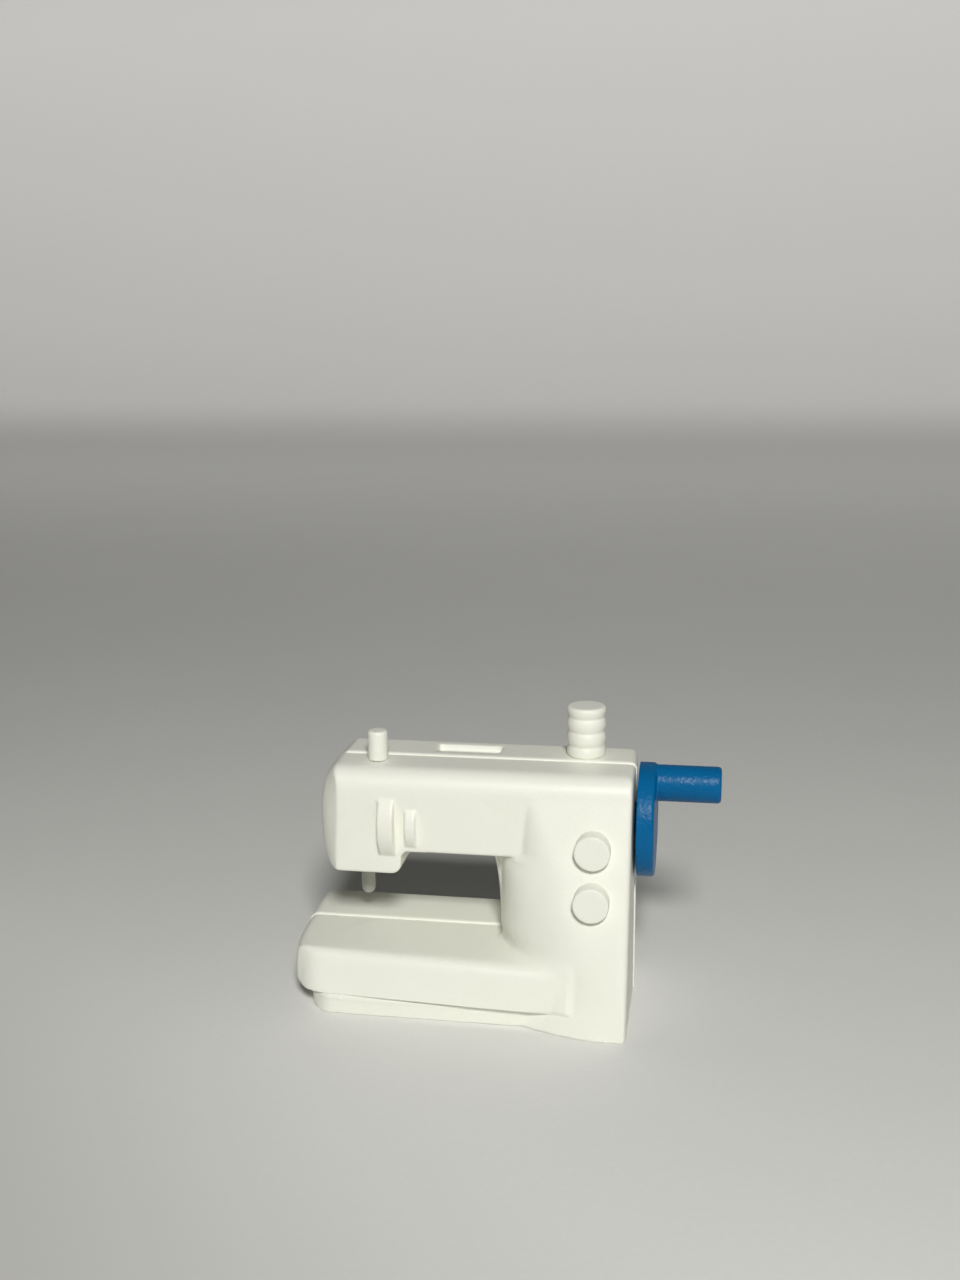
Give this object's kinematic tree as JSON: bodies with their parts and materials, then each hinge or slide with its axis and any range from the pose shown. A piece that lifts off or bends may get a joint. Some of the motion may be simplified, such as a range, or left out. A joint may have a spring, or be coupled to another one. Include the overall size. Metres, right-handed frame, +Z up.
{
  "type": "toy sewing machine",
  "caption": "Toy sewing machine with a hand crank: an arm and head over a low bed, a leaning column, a side wheel with a peg handle and a needle that rises and drops.",
  "frame": {"origin": "On the floor under the seam between the two shells, halfway along the front shell.", "axes": "+X runs along the bed to the crank, +Y runs to the back, +Z is up. The seam is the plane Y = 0."},
  "size_m": [0.0776, 0.0329, 0.0537],
  "materials": {
    "white_plastic": "warm white moulded plastic with a satin sheen",
    "blue_plastic": "blue moulded plastic with a fine spark-eroded grain",
    "inner_plastic": "natural moulded plastic",
    "steel": "plain steel"
  },
  "bodies": {
    "housing": {"front_shell": "white_plastic", "rear_shell": "white_plastic", "thread_spool": "white_plastic", "thread_post": "white_plastic", "upper_dial": "white_plastic", "lower_dial": "white_plastic", "shell_screws": "steel"},
    "crank": {"crank_wheel": "blue_plastic", "drive_shaft": "steel", "eccentric": "inner_plastic"},
    "needle": {"needle_bar": "white_plastic"}
  },
  "joints": [
    {"name": "crank_turn", "type": "hinge", "parent": "housing", "child": "crank", "pos_m": [0.0315, 0, 0.0338], "axis": [1, 0, 0], "continuous": true},
    {"name": "needle_slide", "type": "slide", "parent": "housing", "child": "needle", "axis": [0, 0, 1], "range_m": [-0.0042, 0]}
  ]
}
